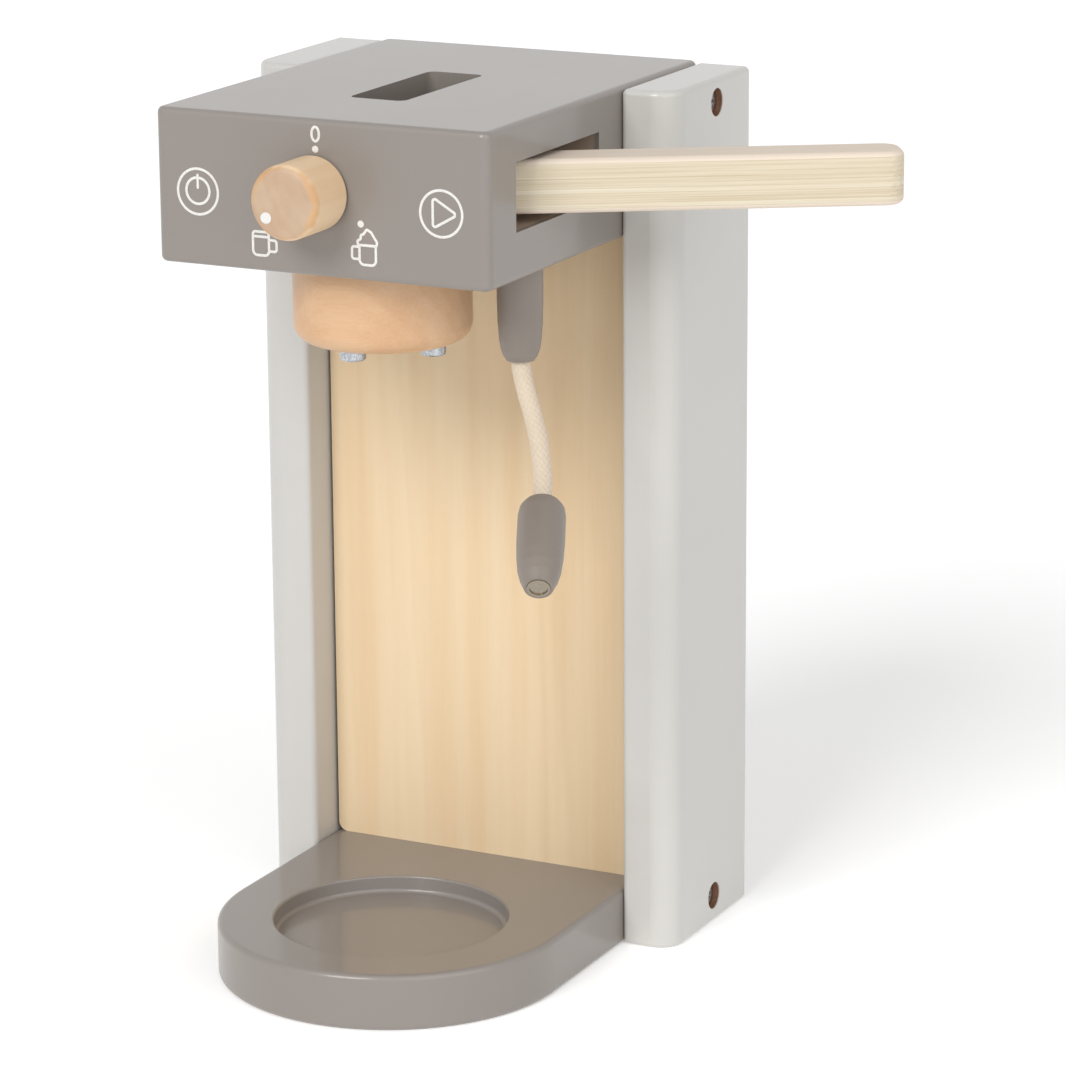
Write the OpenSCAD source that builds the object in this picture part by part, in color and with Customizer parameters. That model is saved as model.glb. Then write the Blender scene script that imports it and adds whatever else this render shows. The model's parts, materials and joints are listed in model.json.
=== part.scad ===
// Toy coffee maker in painted and natural wood.
// X runs across the front, -Y is the front, +Z is up. The origin lies on the
// floor, on the centre plane, level with the front of the posts.

/* [Overall] */
// Height of the head's top over the floor
total_h = 300; // [280:1:330]
// Width of the base and of the head between the posts
body_w = 121; // [116:0.5:140]
// Rounding of long painted edges
edge_r = 2; // [1:0.25:3]

/* [Posts] */
// Thickness of a post across the front
post_t = 19.5; // [16:0.5:26]
// Depth of a post from front to back
post_d = 62; // [56:1:80]
// Height that a post stays below the head's top
post_drop = 0.8; // [0:0.1:3]
// Rounding of a post's outer front edge
post_nose_r = 9; // [4:0.5:12]

/* [Base] */
// Thickness of the base board
base_t = 19.5; // [16:0.5:26]
// Distance of the half-round front's centre ahead of the posts
base_arc = 53.5; // [45:0.5:70]
// Distance of the cup's axis ahead of the posts
cup_out = 56; // [52:0.5:62]
// Radius of the cup recess
recess_r = 40; // [30:0.5:44]
// Depth of the cup recess
recess_depth = 6; // [3:0.5:9]
// Rounding at the floor of the cup recess
recess_cove_r = 1.5; // [0.5:0.25:2.5]
// Rounding of the cup recess's upper edge
recess_lip_r = 0.8; // [0.25:0.05:1.5]

/* [Back panel] */
// Thickness of the back panel
panel_t = 9; // [8:0.5:14]
// Distance of the panel's face behind the front of the posts
panel_inset = 15; // [12:0.5:22]
// Gap between the panel and each post
panel_side_gap = 1; // [0.5:0.25:2]
// Rounding of the panel's corners
panel_corner_r = 3.5; // [1:0.5:8]

/* [Head] */
// Height of the whole head
head_h = 51; // [49:0.5:60]
// Distance of the head's front ahead of the posts
head_out = 96; // [92:0.5:110]
// Thickness of the head's bottom board
head_floor_t = 16; // [14:0.5:19]
// Thickness of the head's top board
head_top_t = 12.4; // [11:0.1:14]
// Thickness of the wall behind the knob
head_wall_t = 19; // [16:0.5:22]
// Rounding of the head's upright corners
head_corner_r = 3; // [2:0.25:5]
// Distance of the side opening's back end ahead of the posts
opening_end = 16.5; // [12:0.5:20]
// Reach of the pod channel to the left of the centre plane
channel_left = 30; // [20:1:36]

/* [Pod slot] */
// Width of the pod slot
slot_w = 20.5; // [18:0.5:24]
// Length of the pod slot
slot_l = 57.5; // [50:0.5:60]
// Distance of the slot's front end ahead of the posts
slot_out = 54.5; // [52:0.5:60]
// Rounding of the slot's corners
slot_r = 3; // [1.5:0.5:4]
// Width that the channel has beyond the slot on each side
slot_margin = 2; // [1:0.5:4]

/* [Lever] */
// Width of the lever, seen from above
lever_w = 18; // [14:0.5:20]
// Thickness of the lever
lever_t = 17.8; // [14:0.2:18]
// Length of the lever from its pivot to its end
lever_l = 144; // [110:1:180]
// Angle of the lever behind the crosswise line
lever_angle = 31.5; // [30:0.5:40]
// Distance of the pivot to the right of the centre plane
pivot_x = 34.5; // [32:0.5:38]
// Gap between the lever's round end and the front wall
pivot_gap = 1; // [0.5:0.25:3]
// Radius of the dowel that the lever turns on
pivot_r = 4; // [3:0.5:5]
// Depth of the pivot dowel in the head's boards
pivot_bite = 8; // [5:0.5:10]
// Height of the washer under the lever
lever_washer_t = 3; // [2:0.1:3.2]
// Width of the washers' ring
lever_washer_ring = 3.5; // [2:0.5:5]

/* [Knob] */
// Radius of the knob
knob_r = 12.2; // [10:0.1:15]
// Length of the knob
knob_l = 20.5; // [17:0.5:28]
// Distance of the knob's axis, and of the pod slot's middle, to the left of the centre plane
knob_left = 1.7; // [0:0.1:4]
// Height of the knob's axis above the head's underside
knob_up = 27.3; // [25:0.1:29]
// Gap between the knob and the head's front
knob_gap = 0.5; // [0.3:0.1:1]
// Rounding of the knob's front edge
knob_round = 2.6; // [1:0.1:4]

/* [Group head] */
// Radius of the group head
group_r = 29.6; // [26:0.1:34]
// Distance of the group head's axis ahead of the posts
group_out = 55; // [52:0.5:60]
// Height of the group head
group_h = 28.2; // [24:0.1:34]
// Rounding of the group head's lower edge
group_round = 6.2; // [2:0.1:9]
// Radius of the circle of screws in the group head
group_screw_ring = 19; // [14:0.5:20]
// Turn of that circle of screws
group_screw_turn = -3; // [-45:1:45]

/* [Steam hose] */
// Distance of the ferrule's axis from the head's right side
wand_inset = 12.5; // [9.5:0.5:14]
// Distance of the ferrule's axis ahead of the posts
wand_out = 50; // [44:0.5:56]
// Largest radius of the ferrule
ferrule_r = 7.6; // [6:0.1:9]
// Length of the ferrule below the head
ferrule_l = 32; // [24:0.5:40]
// Radius of the rope
rope_r = 3.1; // [2.5:0.1:4]
// Largest radius of the nozzle
nozzle_r = 7.8; // [6:0.1:9]
// Length of the nozzle
nozzle_l = 36.8; // [28:0.2:44]
// Radius of the metal disc in the nozzle
insert_r = 3.75; // [2.5:0.05:4]

/* [Fasteners] */
// Length of a wood screw under its head
screw_l = 40; // [36:1:44]
// Length of the knob's screw under its head
knob_screw_l = 34; // [28:1:37]
// Radius of a screw's shank
screw_r = 2; // [1.5:0.1:2.25]
// Radius of a screw's head
screw_head_r = 4.25; // [3.5:0.05:4.4]
// Height of a screw's head
screw_head_h = 3.6; // [2.5:0.1:4]
// Radius of the screw pockets in the posts
pocket_r = 4.8; // [4.6:0.1:6]
// Depth of the screw pockets in the posts
pocket_depth = 6; // [4.5:0.5:8]
// Distance of the screw pockets behind the front of the posts
pocket_back = 34; // [30:0.5:40]
// Distance of the upper pockets below the head's top
pocket_down = 9; // [7.5:0.1:9.5]
// Radius of the dowels in the posts
dowel_r = 4; // [3:0.5:4.5]
// Length of the dowels in the posts
dowel_l = 30; // [24:1:36]
// Radius of the dowels in the panel's edges
panel_dowel_r = 2.5; // [2:0.25:2.75]
// Length of the dowels in the panel's edges
panel_dowel_l = 20; // [14:1:24]

/* [Hidden] */
$fn = 48;
// Clearance of a glued or screwed piece in its hole
seat_gap = 0.05;
// Clearance of a pin in the hole that turns on it
run_gap = 0.08;
// Length that a cut runs past the face that it opens
past = 1;
// Length of a hole past the end of the pin in it
hole_spare = 0.5;

half_w = body_w / 2;
cup_y = -cup_out;
head_z = total_h - head_h;
frame_z = head_z + head_floor_t;
ceiling_z = total_h - head_top_t;
channel_h = ceiling_z - frame_z;
channel_front = -head_out + head_wall_t;
slot_front = -slot_out;
slot_back = slot_front + slot_l;
channel_r = 3;

pivot_y = channel_front + pivot_gap + lever_w / 2;
lever_z = frame_z + lever_washer_t + run_gap;
lever_round = 2.2;
lever_end_r = 6.5;
top_washer_t = channel_h - lever_washer_t - lever_t - 3 * run_gap;

knob_z = head_z + knob_up;
knob_x = -knob_left;
knob_washer_r = 5.5;
knob_washer_t = 1;

group_z = head_z - group_h;
wand_x = half_w - wand_inset;
ferrule_z = head_z - ferrule_l;
spigot_r = 4;
spigot_h = 11;
rope_sides = 10;
insert_t = 2.5;
insert_proud = 0.3;
insert_rim = 0.7;
insert_dish = 0.5;

pocket_floor = post_t - pocket_depth;
pocket_z = [base_t / 2, total_h - pocket_down];
dowel_bite = 11;
dowel_inset = 12;
dowel_y = [dowel_inset, post_d - dowel_inset];
dowel_z = [base_t / 2, head_z + head_floor_t / 2];
panel_dowel_inset = 24;
panel_dowel_x = [-half_w + panel_dowel_inset, half_w - panel_dowel_inset];
panel_top = head_z;
panel_mid_y = panel_inset + panel_t / 2;

// Route of the rope from the ferrule's mouth, then how the nozzle leaves it
rope_steps = [[0, 0, 0], [0.4, -0.1, -3.8], [1.5, -0.6, -7.3], [2.9, -1.4, -10.7], [4.6, -2.6, -13.9],
    [6.3, -4, -16.8], [8, -5.7, -19.6], [9.8, -7.6, -22.3], [11.4, -9.5, -25.2], [12.8, -11.4, -28.1],
    [14.1, -13.3, -31], [15.4, -15.3, -34], [16.6, -17.6, -36.7], [17.8, -20.1, -39.2], [19.1, -23, -41.4]];
rope_mouth = [wand_x, -wand_out, ferrule_z];
rope_points = [for (step = rope_steps) rope_mouth + step];
nozzle_tilt = 59.5;
nozzle_turn = -66;

light_paint = [0.80, 0.79, 0.77];
taupe_paint = [0.60, 0.57, 0.54];
panel_wood = [0.93, 0.82, 0.66];
beech = [0.88, 0.72, 0.56];
plywood = [0.90, 0.85, 0.72];
cotton = [0.90, 0.86, 0.76];
zinc = [0.74, 0.76, 0.78];
nylon = [0.93, 0.93, 0.90];

// ---- Shared shapes ----

// Rectangle from the origin; r holds its corners' radii, going round from the origin's corner
module round_rect(size, r) {
    difference() {
        square(size);
        for (c = [[0, 0, r[0]], [1, 0, r[1]], [1, 1, r[2]], [0, 1, r[3]]])
            if (c[2] > 0) translate([c.x * size.x, c.y * size.y])
                difference() {
                    square(2 * c[2], center = true);
                    translate([(1 - 2 * c.x) * c[2], (1 - 2 * c.y) * c[2]]) circle(c[2]);
                }
    }
}

// Board from the origin with upright corners of the radii in plan, going round from the origin's corner,
// and along all its upper and lower edges a rounding r that is no larger than those radii
module soft_board(size, plan, r) {
    middle = [size.x, size.y] / 2;
    for (c = [[0, 0, plan[0]], [1, 0, plan[1]], [1, 1, plan[2]], [0, 1, plan[3]]])
        translate([c.x * size.x + (1 - 2 * c.x) * c[2], c.y * size.y + (1 - 2 * c.y) * c[2], 0])
            rotate_extrude() round_rect([c[2], size.z], [0, r, r, 0]);
    translate([plan[0], 0, 0]) soft_side(size.x - plan[0] - plan[1], middle.y, size.z, r);
    translate([size.x - plan[2], size.y, 0]) rotate(180)
        soft_side(size.x - plan[2] - plan[3], middle.y, size.z, r);
    translate([size.x, plan[1], 0]) rotate(90)
        soft_side(size.y - plan[1] - plan[2], middle.x, size.z, r);
    translate([0, size.y - plan[3], 0]) rotate(270)
        soft_side(size.y - plan[3] - plan[0], middle.x, size.z, r);
}

// Straight side of such a board: along +X, reaching d inwards along +Y; none between corners that meet
module soft_side(l, d, h, r) {
    if (l > 0) rotate([90, 0, 90]) linear_extrude(l) round_rect([d, h], [r, 0, 0, r]);
}

// Four equal radii for round_rect
function all(r) = [r, r, r, r];

// Hole or dowel along +X from a point
module along_x(at, r, l) {
    translate(at) rotate([0, 90, 0]) cylinder(h = l, r = r);
}

// Pan-headed wood screw: the head's bearing face at z = 0, the shank down to -l
module wood_screw(l) {
    point = 2 * screw_r;
    tip_r = 0.3;
    dome = 1;
    slot = 0.9;
    difference() {
        rotate_extrude() round_rect([screw_head_r, screw_head_h], [0, 0, dome, 0]);
        for (a = [0, 90]) rotate(a)
            translate([0, 0, screw_head_h])
                cube([screw_head_r, slot, screw_head_h], center = true);
    }
    translate([0, 0, -l + point]) cylinder(h = l - point, r = screw_r);
    translate([0, 0, -l]) cylinder(h = point, r1 = tip_r, r2 = screw_r);
}

// Turned bead from z = 0 down to -l: flat_top and flat_end are the radii of its flats
module turned_bead(l, r, flat_top, flat_end) {
    waist = [[0, flat_top], [0.03, 0.83 * r], [0.075, 0.95 * r], [0.15, r], [0.45, r], [0.66, 0.965 * r],
        [0.8, 0.9 * r], [0.9, 0.79 * r], [0.96, 0.68 * r], [1, flat_end]];
    rotate_extrude()
        polygon(concat([[0, 0]], [for (p = waist) [p[1], -p[0] * l]], [[0, -l]]));
}

// ---- Fasteners' places, shared by the pieces and their holes ----

// Screws of the posts: heads in the pockets, points in the base and the head
module at_post_screws() {
    for (side = [0, 1], z = pocket_z)
        mirror([side, 0, 0]) translate([half_w + pocket_floor, pocket_back, z]) rotate([0, 90, 0]) children();
}

// Dowels between each post and the boards, at one of the two heights
module at_dowels(z, r, spare) {
    for (side = [0, 1], y = dowel_y)
        mirror([side, 0, 0])
            along_x([half_w + dowel_bite - dowel_l - spare, y, z], r, dowel_l + 2 * spare);
}

// Dowels in the panel's lower and upper edge
module at_panel_dowels(r, spare) {
    l = panel_dowel_l + 2 * spare;
    for (x = panel_dowel_x, z = [base_t, panel_top])
        translate([x, panel_mid_y, z - l / 2]) cylinder(h = l, r = r);
}

// Screws that hold the group head
module at_group_screws() {
    for (a = [0 : 90 : 270])
        translate([0, -group_out, group_z]) rotate(group_screw_turn + a) translate([group_screw_ring, 0, 0])
            rotate([180, 0, 0]) children();
}

// Holes for all that enters the base or the head from the side and from below
module board_holes() {
    at_post_screws() screw_hole();
    at_group_screws() screw_hole();
    for (z = dowel_z) at_dowels(z, dowel_r + seat_gap, hole_spare);
    at_panel_dowels(panel_dowel_r + seat_gap, hole_spare);
}

// Hole for a wood screw whose head bears at z = 0
module screw_hole() {
    l = screw_l + hole_spare;
    translate([0, 0, -l]) cylinder(h = l, r = screw_r + seat_gap);
}

// ---- Base, posts and panel ----

// Board with a half-round front: a turned front half and a straight back half
module base_plate() {
    color(taupe_paint) difference() {
        union() {
            translate([0, -base_arc, 0]) rotate_extrude($fn = 96)
                round_rect([half_w, base_t], [0, edge_r, edge_r, 0]);
            translate([-half_w, post_d, 0]) rotate([90, 0, 0])
                linear_extrude(post_d + base_arc) round_rect([body_w, base_t], all(edge_r));
        }
        translate([0, cup_y, base_t - recess_depth]) cup_recess();
        board_holes();
    }
}

// Round pocket with a coved floor edge and a rounded lip
module cup_recess() {
    rotate_extrude($fn = 96) {
        round_rect([recess_r, recess_depth + past], [0, recess_cove_r, 0, 0]);
        translate([0, recess_depth - recess_lip_r]) difference() {
            square([recess_r + recess_lip_r, recess_lip_r + past]);
            translate([recess_r + recess_lip_r, 0]) circle(recess_lip_r);
        }
    }
}

// Right post; the left one is its mirror image
module post() {
    color(light_paint) difference() {
        translate([half_w, 0, 0])
            soft_board([post_t, post_d, total_h - post_drop], [edge_r, post_nose_r, edge_r, edge_r], edge_r);
        for (z = pocket_z) {
            along_x([half_w + pocket_floor, pocket_back, z], pocket_r, pocket_depth + past);
            along_x([half_w - past, pocket_back, z], screw_r + seat_gap, post_t);
        }
        for (z = dowel_z) at_dowels(z, dowel_r + seat_gap, hole_spare);
    }
}

module right_post() {
    post();
}

module left_post() {
    mirror([1, 0, 0]) post();
}

module back_panel() {
    w = body_w - 2 * panel_side_gap;
    color(panel_wood) difference() {
        translate([-w / 2, panel_inset + panel_t, base_t]) rotate([90, 0, 0])
            linear_extrude(panel_t) round_rect([w, panel_top - base_t], all(panel_corner_r));
        at_panel_dowels(panel_dowel_r + seat_gap, hole_spare);
    }
}

// ---- Head ----

// Whole outline of the head between two heights
module head_slab(z0, z1) {
    length = head_out + post_d;
    intersection() {
        translate([-half_w, -head_out, head_z])
            soft_board([body_w, length, head_h], all(head_corner_r), edge_r);
        translate([-half_w - past, -head_out - past, z0])
            cube([body_w + 2 * past, length + 2 * past, z1 - z0]);
    }
}

// Hole that the pivot dowel stands in
module pivot_hole() {
    translate([pivot_x, pivot_y, frame_z - pivot_bite - hole_spare])
        cylinder(h = channel_h + 2 * (pivot_bite + hole_spare), r = pivot_r + seat_gap);
}

module head_floor() {
    color(taupe_paint) difference() {
        head_slab(head_z, frame_z);
        board_holes();
        pivot_hole();
        translate([wand_x, -wand_out, head_z - past])
            cylinder(h = spigot_h + hole_spare + past, r = spigot_r + seat_gap);
    }
}

// Middle board: the pod channel, open to the right, with a bay under the slot's back end
module head_frame() {
    deep = channel_h + 2 * past;
    channel = [channel_left + half_w + past, -opening_end - channel_front];
    bay_w = slot_w + 2 * slot_margin;
    bay_l = slot_back + slot_margin - channel_front;
    color(taupe_paint) difference() {
        head_slab(frame_z, ceiling_z);
        translate([-channel_left, channel_front, frame_z - past]) linear_extrude(deep)
            round_rect(channel, [channel_r, 0, 0, channel_r]);
        translate([knob_x - bay_w / 2, channel_front, frame_z - past]) linear_extrude(deep)
            round_rect([bay_w, bay_l], all(channel_r));
        translate([knob_x, channel_front + past, knob_z]) rotate([90, 0, 0])
            cylinder(h = head_wall_t + 2 * past, r = screw_r + run_gap);
    }
}

module head_top() {
    color(taupe_paint) difference() {
        head_slab(ceiling_z, total_h);
        translate([knob_x - slot_w / 2, slot_front, ceiling_z - past]) linear_extrude(head_top_t + 2 * past)
            round_rect([slot_w, slot_l], all(slot_r));
        board_holes();
        pivot_hole();
    }
}

// ---- Lever ----

// Laminated bar: round at the pivot, soft long edges and a rounded outer end
module lever_arm() {
    half = lever_w / 2;
    plan = [half, lever_end_r, lever_end_r, half];
    color(plywood) translate([pivot_x, pivot_y, lever_z]) rotate(lever_angle) difference() {
        translate([-half, -half, 0]) soft_board([lever_l + half, lever_w, lever_t], plan, lever_round);
        translate([0, 0, -past]) cylinder(h = lever_t + 2 * past, r = pivot_r + run_gap);
    }
}

module lever_pivot() {
    color(beech) translate([pivot_x, pivot_y, frame_z - pivot_bite])
        cylinder(h = channel_h + 2 * pivot_bite, r = pivot_r);
}

module lever_washer(t) {
    difference() {
        cylinder(h = t, r = pivot_r + lever_washer_ring);
        translate([0, 0, -past]) cylinder(h = t + 2 * past, r = pivot_r + seat_gap);
    }
}

module lever_washers() {
    color(nylon) translate([pivot_x, pivot_y, 0]) {
        translate([0, 0, frame_z]) lever_washer(lever_washer_t);
        translate([0, 0, ceiling_z - top_washer_t]) lever_washer(top_washer_t);
    }
}

// ---- Knob ----

// Frame of the knob: +Z runs out of the head's front along the knob's axis
module on_knob_axis(out) {
    translate([knob_x, -head_out - out, knob_z]) rotate([90, 0, 0]) children();
}

module knob() {
    back_r = 0.8;
    hole_l = knob_screw_l - head_wall_t - knob_washer_t - knob_gap + hole_spare;
    color(beech) on_knob_axis(knob_gap) difference() {
        rotate_extrude() round_rect([knob_r, knob_l], [0, back_r, knob_round, 0]);
        translate([0, 0, -past]) cylinder(h = hole_l + past, r = screw_r + seat_gap);
    }
}

module knob_screw() {
    color(zinc) on_knob_axis(-head_wall_t - knob_washer_t - run_gap) rotate([180, 0, 0])
        wood_screw(knob_screw_l);
}

module knob_washer() {
    color(zinc) on_knob_axis(-head_wall_t - knob_washer_t - run_gap) difference() {
        cylinder(h = knob_washer_t, r = knob_washer_r);
        translate([0, 0, -past]) cylinder(h = knob_washer_t + 2 * past, r = screw_r + seat_gap);
    }
}

// ---- Group head ----

module group_head() {
    color(beech) difference() {
        translate([0, -group_out, group_z]) rotate_extrude($fn = 72)
            round_rect([group_r, group_h], [0, group_round, 0, 0]);
        at_group_screws() translate([0, 0, -group_h - past])
            cylinder(h = group_h + 2 * past, r = screw_r + seat_gap);
    }
}

module group_head_screws() {
    color(zinc) at_group_screws() wood_screw(screw_l);
}

// ---- Steam hose ----

// Turned socket with a spigot in the head; outline holds shares of its length and radius
module wand_ferrule() {
    outline = [[0, 0], [0, 1], [0.35, 1], [0.6, 0.975], [0.78, 0.92], [0.88, 0.85], [0.95, 0.75], [1, 0.6],
        [1, 0]];
    color(taupe_paint) translate([wand_x, -wand_out, head_z]) {
        rotate_extrude() polygon([for (p = outline) [p[1] * ferrule_r, -p[0] * ferrule_l]]);
        cylinder(h = spigot_h, r = spigot_r);
    }
}

// Unit vector
function unit(v) = v / norm(v);

// Direction of the route at point i: straight out of the ferrule and straight into the nozzle
function rope_way(i) =
    i == 0 ? [0, 0, -1]
    : i == len(rope_points) - 1 ? nozzle_way
    : unit(rope_points[i + 1] - rope_points[i - 1]);
nozzle_way = [sin(nozzle_tilt) * cos(nozzle_turn), sin(nozzle_tilt) * sin(nozzle_turn), -cos(nozzle_tilt)];
// A crosswise direction that the route never runs along
rope_side = unit([0.9, 0.45, 0]);

// Tube swept along the route: one ring of points at each route point, and a flat cap at each end
module steam_rope() {
    count = len(rope_points);
    rings = [for (i = [0 : count - 1])
        let (u = unit(cross(rope_side, rope_way(i))), v = cross(rope_way(i), u))
        for (k = [0 : rope_sides - 1])
            let (a = 360 * k / rope_sides) rope_points[i] + rope_r * (cos(a) * u + sin(a) * v)];
    walls = [for (i = [0 : count - 2], k = [0 : rope_sides - 1])
        let (a = i * rope_sides + k, b = i * rope_sides + (k + 1) % rope_sides)
        each [[a, a + rope_sides, b], [b, a + rope_sides, b + rope_sides]]];
    first_cap = [for (k = [0 : rope_sides - 1]) k];
    last_cap = [for (k = [rope_sides - 1 : -1 : 0]) (count - 1) * rope_sides + k];
    color(cotton) polyhedron(rings, concat(walls, [first_cap, last_cap]));
}

// Frame of the nozzle: it hangs down -Z from the rope's end
module at_nozzle() {
    translate(rope_points[len(rope_points) - 1]) rotate(nozzle_turn) rotate([0, -nozzle_tilt, 0])
        children();
}

module steam_nozzle() {
    color(taupe_paint) at_nozzle() difference() {
        turned_bead(nozzle_l, nozzle_r, 0.64 * nozzle_r, insert_r + 1);
        translate([0, 0, -nozzle_l - past])
            cylinder(h = insert_t - insert_proud + past, r = insert_r + seat_gap);
    }
}

module nozzle_insert() {
    color(zinc) at_nozzle() translate([0, 0, -nozzle_l - insert_proud]) difference() {
        cylinder(h = insert_t, r = insert_r);
        translate([0, 0, -past]) cylinder(h = past + insert_dish, r = insert_r - insert_rim);
    }
}

// ---- Fasteners ----

module post_screws() {
    color(zinc) at_post_screws() wood_screw(screw_l);
}

module head_dowels() {
    color(beech) at_dowels(dowel_z[1], dowel_r, 0);
}

module base_dowels() {
    color(beech) at_dowels(dowel_z[0], dowel_r, 0);
}

module panel_dowels() {
    color(beech) at_panel_dowels(panel_dowel_r, 0);
}

base_plate();
left_post();
right_post();
back_panel();
head_floor();
head_frame();
head_top();
lever_arm();
lever_pivot();
lever_washers();
knob();
knob_screw();
knob_washer();
group_head();
group_head_screws();
wand_ferrule();
steam_rope();
steam_nozzle();
nozzle_insert();
post_screws();
head_dowels();
base_dowels();
panel_dowels();
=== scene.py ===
"""Toy coffee maker: paint, wood grain, plies, printed marks and the braided rope, built round its frame.

Lengths are in metres, in the frame's own axes: +X to the right, -Y out of the front, +Z up.
"""

import json
import math

import bpy
import numpy as np
from bpy.props import FloatProperty, FloatVectorProperty, IntProperty, PointerProperty
from mathutils import Matrix, Vector


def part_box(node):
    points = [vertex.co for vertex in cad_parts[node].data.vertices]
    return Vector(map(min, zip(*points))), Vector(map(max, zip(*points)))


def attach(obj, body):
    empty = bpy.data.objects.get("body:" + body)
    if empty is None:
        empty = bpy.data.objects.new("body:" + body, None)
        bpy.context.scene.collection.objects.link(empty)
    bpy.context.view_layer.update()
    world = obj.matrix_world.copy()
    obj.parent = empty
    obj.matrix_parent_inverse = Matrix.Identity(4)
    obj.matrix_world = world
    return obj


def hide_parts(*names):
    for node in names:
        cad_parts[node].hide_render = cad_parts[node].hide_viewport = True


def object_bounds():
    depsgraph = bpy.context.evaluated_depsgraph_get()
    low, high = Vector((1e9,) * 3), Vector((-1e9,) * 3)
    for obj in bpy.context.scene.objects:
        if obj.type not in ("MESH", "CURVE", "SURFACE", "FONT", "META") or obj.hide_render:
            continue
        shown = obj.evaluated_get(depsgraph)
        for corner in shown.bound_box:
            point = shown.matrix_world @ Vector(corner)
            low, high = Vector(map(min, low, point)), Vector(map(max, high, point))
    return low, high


bl_info = {
    "name": "Toy Coffee Maker",
    "version": (1, 0, 0),
    "blender": (4, 5, 0),
    "location": "View3D > Sidebar > Toy",
    "description": "Dresses the frame of a wooden toy coffee maker",
    "category": "Add Mesh",
}

MM = 0.001

# The paint's share of satin varnish, and how deep its relief is
VARNISH = 0.6
PAINT_RELIEF = 0.05 * MM

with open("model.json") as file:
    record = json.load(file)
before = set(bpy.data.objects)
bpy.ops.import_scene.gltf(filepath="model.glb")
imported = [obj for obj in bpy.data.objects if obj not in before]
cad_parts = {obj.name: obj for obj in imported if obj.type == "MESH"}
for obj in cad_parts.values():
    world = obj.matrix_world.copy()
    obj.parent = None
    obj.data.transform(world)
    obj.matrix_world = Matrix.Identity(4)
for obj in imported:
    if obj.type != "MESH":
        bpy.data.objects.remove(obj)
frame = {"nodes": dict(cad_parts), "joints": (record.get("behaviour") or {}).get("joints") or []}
CAD_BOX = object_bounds()

HEAD_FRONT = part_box("head_frame")[0].y
POST_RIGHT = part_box("right_post")[1].x
PANEL_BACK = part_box("back_panel")[1].y
KNOB_LOW, KNOB_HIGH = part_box("knob")
KNOB_MIDDLE = (KNOB_LOW + KNOB_HIGH) / 2
LEVER_LOW, LEVER_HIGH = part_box("lever_arm")
HINGE = next(j for j in frame["joints"] if j["name"] == "lever_swing")

# The lever's turn back from straight out to the right, and its layers
LEVER_TURN = math.radians(31.5)
PLIES = 11

# Turns that bring an axis of the frame onto local Z, along which a material's grain runs
ALONG_X, ALONG_Y, ALONG_Z = (0, math.pi / 2, 0), (math.pi / 2, 0, 0), (0, 0, 0)

# Route of the rope from the ferrule's mouth, in millimetres, as its solid has it
ROPE_MOUTH = (48, -50, 217)
ROPE_STEPS = (
    (0, 0, 0), (0.4, -0.1, -3.8), (1.5, -0.6, -7.3), (2.9, -1.4, -10.7), (4.6, -2.6, -13.9),
    (6.3, -4, -16.8), (8, -5.7, -19.6), (9.8, -7.6, -22.3), (11.4, -9.5, -25.2), (12.8, -11.4, -28.1),
    (14.1, -13.3, -31), (15.4, -15.3, -34), (16.6, -17.6, -36.7), (17.8, -20.1, -39.2), (19.1, -23, -41.4),
)

# The rope's way into the nozzle: its lean from straight down, and its turn from the right
NOZZLE_TILT = math.radians(59.5)
NOZZLE_TURN = math.radians(-66)


def paint(red, green, blue):
    """Linear colour of a display colour given in 0 to 255: the display curve's power law, undone."""
    shares = np.array([red, green, blue]) / 255
    return tuple(np.where(shares <= 0.04045, shares / 12.92, ((shares + 0.055) / 1.055) ** 2.4))


# ---- What a user would change ----


def length_setting(name, description, millimetres):
    """A length, given in millimetres."""
    return FloatProperty(name=name, description=description, default=millimetres * MM, unit="LENGTH")


def angle_setting(name, description, degrees):
    """An angle, given in degrees."""
    return FloatProperty(name=name, description=description, default=math.radians(degrees), subtype="ANGLE")


def colour_setting(name, description, *display):
    """A colour, given as its display colour in 0 to 255."""
    return FloatVectorProperty(
        name=name, description=description, size=3, default=paint(*display), subtype="COLOR")


class CameraSettings(bpy.types.PropertyGroup):
    """Where the camera stands"""

    azimuth: angle_setting("Azimuth", "Turn round the object, from the front to the right", 26.6566)
    elevation: angle_setting("Elevation", "Height of the view above the horizon", 15.1383)
    roll: angle_setting("Roll", "Turn of the camera about its own line of sight", -0.4129)
    distance: length_setting("Distance", "From the camera to the object's middle", 1523.9)
    aim: FloatVectorProperty(
        name="Aim", description="Shift of the line of sight to the right and up from the object's middle",
        size=2, default=(0.02418, -0.0089), subtype="XYZ_LENGTH")
    lens: FloatProperty(
        name="Lens", description="Focal length for a 36 mm sensor", default=149.52, unit="CAMERA")


class RopeSettings(bpy.types.PropertyGroup):
    """The steam hose's rope"""

    radius: length_setting("Radius", "Radius over the strands", 3.1)
    length: length_setting("Length", "From the ferrule's mouth to the nozzle", 52.6)
    strands: IntProperty(
        name="Strands", description="Strands that run one way round the rope", default=9, min=3)
    pitch: length_setting("Pitch", "Length over which a strand goes once round", 24)
    relief: length_setting("Relief", "How far the strands stand out", 0.34)


class MarkSettings(bpy.types.PropertyGroup):
    """The printed marks on the head's front and on the knob"""

    line: length_setting("Line", "Width of a printed line", 0.88)
    ink: length_setting("Ink", "Height of the print over the paint", 0.06)
    ring: length_setting("Ring", "Radius of the two rings, at the middle of their line", 7.45)
    dot: length_setting("Dot", "Radius of the dots round the knob", 1.15)
    knob_dot: length_setting("Knob's dot", "Radius of the dot on the knob", 1.9)


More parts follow.
